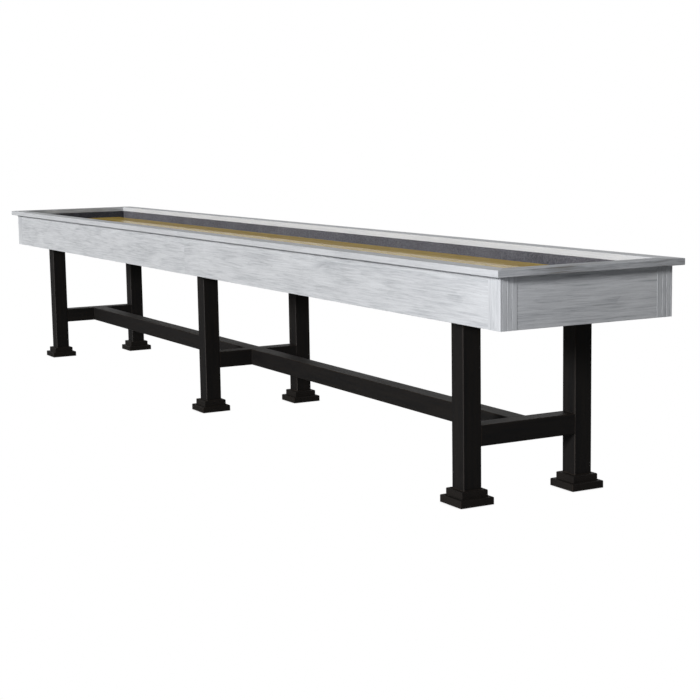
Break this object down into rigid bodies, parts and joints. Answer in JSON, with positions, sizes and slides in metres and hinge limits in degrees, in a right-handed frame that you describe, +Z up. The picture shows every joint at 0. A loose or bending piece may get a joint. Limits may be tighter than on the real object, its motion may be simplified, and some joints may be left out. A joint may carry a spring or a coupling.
{
  "type": "shuffleboard table",
  "caption": "Long shuffleboard table: whitewashed wood cabinet, carpeted gutters round a glossy recessed maple playing board, black square legs with stepped feet, crossbars and stretchers.",
  "frame": {"origin": "centre of the footprint, on the floor", "axes": "+X along the table, +Y across it to the back, +Z up"},
  "size_m": [4.916, 0.718, 0.8],
  "materials": {
    "rail_wood": "whitewashed grey wood, matt, horizontal grain",
    "apron_wood": "whitewashed grey wood, matt, horizontal grain",
    "post_wood": "whitewashed grey wood, matt, upright grain",
    "plain_board": "unfinished board, hidden",
    "plywood": "unfinished plywood, hidden",
    "pine": "planed softwood, hidden",
    "maple": "laminated maple under a thick gloss coat",
    "carpet": "heathered charcoal carpet",
    "black_wood": "black satin lacquer",
    "black_steel": "black powder coat",
    "zinc_steel": "bright zinc plate",
    "brass": "plain turned brass"
  },
  "bodies": {
    "table": {"top_rail_front_left": "rail_wood", "apron_front_left": "apron_wood", "corner_post_front_left": "post_wood", "top_rail_front_right": "rail_wood", "apron_front_right": "apron_wood", "corner_post_front_right": "post_wood", "top_rail_back_left": "rail_wood", "apron_back_left": "apron_wood", "corner_post_back_left": "post_wood", "top_rail_back_right": "rail_wood", "apron_back_right": "apron_wood", "corner_post_back_right": "post_wood", "top_rail_left": "rail_wood", "apron_left": "apron_wood", "carpet_left": "carpet", "top_rail_right": "rail_wood", "apron_right": "apron_wood", "carpet_right": "carpet", "carpet_front": "carpet", "carpet_back": "carpet", "wall_liners": "plain_board", "gutter_boards": "plywood", "cross_members": "pine", "playfield_runners": "pine", "playfield": "maple", "leg_front_left": "black_wood", "plinth_front_left": "black_wood", "leg_front_middle": "black_wood", "plinth_front_middle": "black_wood", "leg_front_right": "black_wood", "plinth_front_right": "black_wood", "leg_back_left": "black_wood", "plinth_back_left": "black_wood", "leg_back_middle": "black_wood", "plinth_back_middle": "black_wood", "leg_back_right": "black_wood", "plinth_back_right": "black_wood", "crossbar_left": "black_wood", "crossbar_middle": "black_wood", "crossbar_right": "black_wood", "stretcher_left": "black_wood", "stretcher_right": "black_wood", "leg_plates": "black_steel", "leg_fixings": "zinc_steel", "leveller_inserts": "brass", "adjuster_brackets": "black_steel", "adjuster_rods": "zinc_steel", "bracket_screws": "zinc_steel"},
    "leveller_front_left": {"leveller_front_left": "zinc_steel"},
    "leveller_front_middle": {"leveller_front_middle": "zinc_steel"},
    "leveller_front_right": {"leveller_front_right": "zinc_steel"},
    "leveller_back_left": {"leveller_back_left": "zinc_steel"},
    "leveller_back_middle": {"leveller_back_middle": "zinc_steel"},
    "leveller_back_right": {"leveller_back_right": "zinc_steel"},
    "adjuster_sleeve_1": {"adjuster_sleeve_1": "zinc_steel"},
    "adjuster_sleeve_2": {"adjuster_sleeve_2": "zinc_steel"},
    "adjuster_sleeve_3": {"adjuster_sleeve_3": "zinc_steel"},
    "adjuster_sleeve_4": {"adjuster_sleeve_4": "zinc_steel"}
  },
  "joints": [
    {"name": "leveller_front_left_travel", "type": "slide", "parent": "table", "child": "leveller_front_left", "axis": [0, 0, -1], "range_m": [0, 0.02]},
    {"name": "leveller_front_middle_travel", "type": "slide", "parent": "table", "child": "leveller_front_middle", "axis": [0, 0, -1], "range_m": [0, 0.02]},
    {"name": "leveller_front_right_travel", "type": "slide", "parent": "table", "child": "leveller_front_right", "axis": [0, 0, -1], "range_m": [0, 0.02]},
    {"name": "leveller_back_left_travel", "type": "slide", "parent": "table", "child": "leveller_back_left", "axis": [0, 0, -1], "range_m": [0, 0.02]},
    {"name": "leveller_back_middle_travel", "type": "slide", "parent": "table", "child": "leveller_back_middle", "axis": [0, 0, -1], "range_m": [0, 0.02]},
    {"name": "leveller_back_right_travel", "type": "slide", "parent": "table", "child": "leveller_back_right", "axis": [0, 0, -1], "range_m": [0, 0.02]},
    {"name": "adjuster_sleeve_1_turn", "type": "hinge", "parent": "table", "child": "adjuster_sleeve_1", "pos_m": [-1.56, 0, 0.675], "axis": [0, 1, 0], "range_deg": [-360, 360]},
    {"name": "adjuster_sleeve_2_turn", "type": "hinge", "parent": "table", "child": "adjuster_sleeve_2", "pos_m": [-0.52, 0, 0.675], "axis": [0, 1, 0], "range_deg": [-360, 360]},
    {"name": "adjuster_sleeve_3_turn", "type": "hinge", "parent": "table", "child": "adjuster_sleeve_3", "pos_m": [0.52, 0, 0.675], "axis": [0, 1, 0], "range_deg": [-360, 360]},
    {"name": "adjuster_sleeve_4_turn", "type": "hinge", "parent": "table", "child": "adjuster_sleeve_4", "pos_m": [1.56, 0, 0.675], "axis": [0, 1, 0], "range_deg": [-360, 360]}
  ]
}
